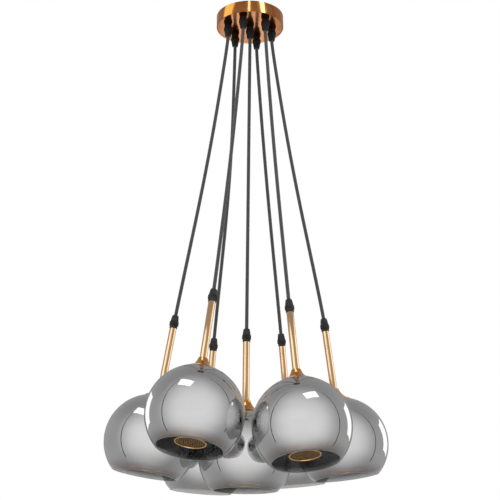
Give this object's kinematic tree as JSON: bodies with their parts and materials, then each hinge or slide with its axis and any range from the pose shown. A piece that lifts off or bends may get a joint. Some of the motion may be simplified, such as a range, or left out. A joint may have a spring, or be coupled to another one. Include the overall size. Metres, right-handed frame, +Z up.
{
  "type": "cluster pendant",
  "caption": "Hanging ceiling light: open mirror-glass globes with mesh baskets on splayed cords from one round canopy, each able to swing outward.",
  "frame": {"origin": "middle of the ceiling bracket's top face, in the plane of the ceiling", "axes": "+Z up out of the ceiling face, -Y towards the pictured front, +X to the picture's right"},
  "size_m": [0.4948, 0.4823, 0.9116],
  "materials": {
    "canopy_copper": "brushed copper plating",
    "black_plastic": "matte black",
    "bracket_steel": "zinc plated",
    "white_plastic": "plain",
    "black_braid": "woven braid",
    "champagne_rod": "satin champagne-gold plating",
    "orange_gold_cap": "satin orange-gold plating",
    "smoked_mirror_glass": "smoked half-mirror coat",
    "holder_plastic": "plain black",
    "gold_mesh": "gold plating",
    "bulb_glass": "frosted"
  },
  "bodies": {
    "canopy_assembly": {"canopy": "canopy_copper", "canopy_grips": "black_plastic", "ceiling_bracket": "bracket_steel", "canopy_fittings": "white_plastic"},
    "pendant_right": {"cord_right": "black_braid", "rod_grip_right": "black_plastic", "rod_right": "champagne_rod", "cap_right": "orange_gold_cap", "globe_right": "smoked_mirror_glass", "lampholder_right": "holder_plastic", "basket_right": "gold_mesh", "bulb_right": "bulb_glass"},
    "pendant_back_right": {"cord_back_right": "black_braid", "rod_grip_back_right": "black_plastic", "rod_back_right": "champagne_rod", "cap_back_right": "orange_gold_cap", "globe_back_right": "smoked_mirror_glass", "lampholder_back_right": "holder_plastic", "basket_back_right": "gold_mesh", "bulb_back_right": "bulb_glass"},
    "pendant_back_left": {"cord_back_left": "black_braid", "rod_grip_back_left": "black_plastic", "rod_back_left": "champagne_rod", "cap_back_left": "orange_gold_cap", "globe_back_left": "smoked_mirror_glass", "lampholder_back_left": "holder_plastic", "basket_back_left": "gold_mesh", "bulb_back_left": "bulb_glass"},
    "pendant_left": {"cord_left": "black_braid", "rod_grip_left": "black_plastic", "rod_left": "champagne_rod", "cap_left": "orange_gold_cap", "globe_left": "smoked_mirror_glass", "lampholder_left": "holder_plastic", "basket_left": "gold_mesh", "bulb_left": "bulb_glass"},
    "pendant_front_left": {"cord_front_left": "black_braid", "rod_grip_front_left": "black_plastic", "rod_front_left": "champagne_rod", "cap_front_left": "orange_gold_cap", "globe_front_left": "smoked_mirror_glass", "lampholder_front_left": "holder_plastic", "basket_front_left": "gold_mesh", "bulb_front_left": "bulb_glass"},
    "pendant_front_right": {"cord_front_right": "black_braid", "rod_grip_front_right": "black_plastic", "rod_front_right": "champagne_rod", "cap_front_right": "orange_gold_cap", "globe_front_right": "smoked_mirror_glass", "lampholder_front_right": "holder_plastic", "basket_front_right": "gold_mesh", "bulb_front_right": "bulb_glass"},
    "pendant_centre": {"cord_centre": "black_braid", "rod_grip_centre": "black_plastic", "rod_centre": "champagne_rod", "cap_centre": "orange_gold_cap", "globe_centre": "smoked_mirror_glass", "lampholder_centre": "holder_plastic", "basket_centre": "gold_mesh", "bulb_centre": "bulb_glass"}
  },
  "joints": [
    {"name": "swing_right", "type": "hinge", "parent": "canopy_assembly", "child": "pendant_right", "pos_m": [0.04247, 0.00941, -0.0455], "axis": [0.0436, -0.999, 0], "range_deg": [0, 20]},
    {"name": "swing_back_right", "type": "hinge", "parent": "canopy_assembly", "child": "pendant_back_right", "pos_m": [0.01308, 0.04149, -0.0455], "axis": [0.8738, -0.4863, 0], "range_deg": [0, 20]},
    {"name": "swing_back_left", "type": "hinge", "parent": "canopy_assembly", "child": "pendant_back_left", "pos_m": [-0.02939, 0.03207, -0.0455], "axis": [0.8949, 0.4462, 0], "range_deg": [0, 20]},
    {"name": "swing_left", "type": "hinge", "parent": "canopy_assembly", "child": "pendant_left", "pos_m": [-0.04247, -0.00941, -0.0455], "axis": [-0.0105, 0.9999, 0], "range_deg": [0, 20]},
    {"name": "swing_front_left", "type": "hinge", "parent": "canopy_assembly", "child": "pendant_front_left", "pos_m": [-0.01308, -0.04149, -0.0455], "axis": [-0.8415, 0.5402, 0], "range_deg": [0, 20]},
    {"name": "swing_front_right", "type": "hinge", "parent": "canopy_assembly", "child": "pendant_front_right", "pos_m": [0.02939, -0.03207, -0.0455], "axis": [-0.9225, -0.3859, 0], "range_deg": [0, 20]},
    {"name": "turn_centre", "type": "hinge", "parent": "canopy_assembly", "child": "pendant_centre", "pos_m": [0, 0, -0.0455], "axis": [0.0103, 0.0018, 0.9999], "range_deg": [-180, 180]}
  ]
}
